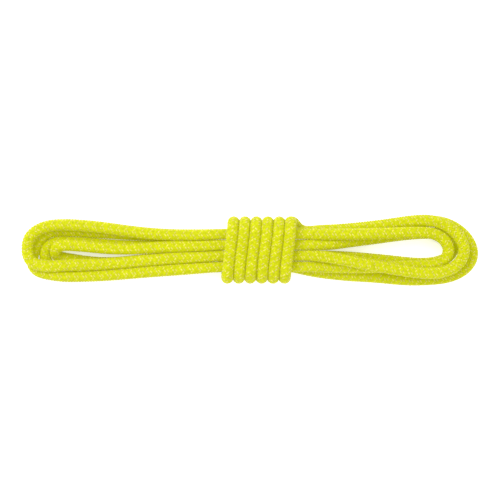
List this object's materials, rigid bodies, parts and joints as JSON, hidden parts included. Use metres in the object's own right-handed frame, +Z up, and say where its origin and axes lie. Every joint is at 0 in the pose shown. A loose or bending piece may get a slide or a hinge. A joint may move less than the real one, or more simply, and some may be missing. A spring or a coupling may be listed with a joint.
{
  "type": "hank of kernmantle cord",
  "caption": "Neon yellow braided accessory cord with reflective tracers, folded into a flat hank and tied round the middle with turns of its own end.",
  "frame": {"origin": "centre of the hank's box, on the surface that it lies on", "axes": "+X along the hank, +Y across it, +Z up, so the hank lies flat on Z = 0"},
  "size_m": [0.2292, 0.0358, 0.0232],
  "materials": {
    "sheath_yarn": "woven",
    "core_yarn": "matte",
    "melted_end": "satin"
  },
  "bodies": {
    "root": {"folded_hank": "sheath_yarn", "wrap_coil": "sheath_yarn", "tail_sheath": "sheath_yarn", "core_strand_1": "core_yarn", "core_strand_2": "core_yarn", "core_strand_3": "core_yarn", "core_strand_4": "core_yarn", "core_strand_5": "core_yarn", "tail_end_seal": "melted_end"}
  },
  "joints": []
}
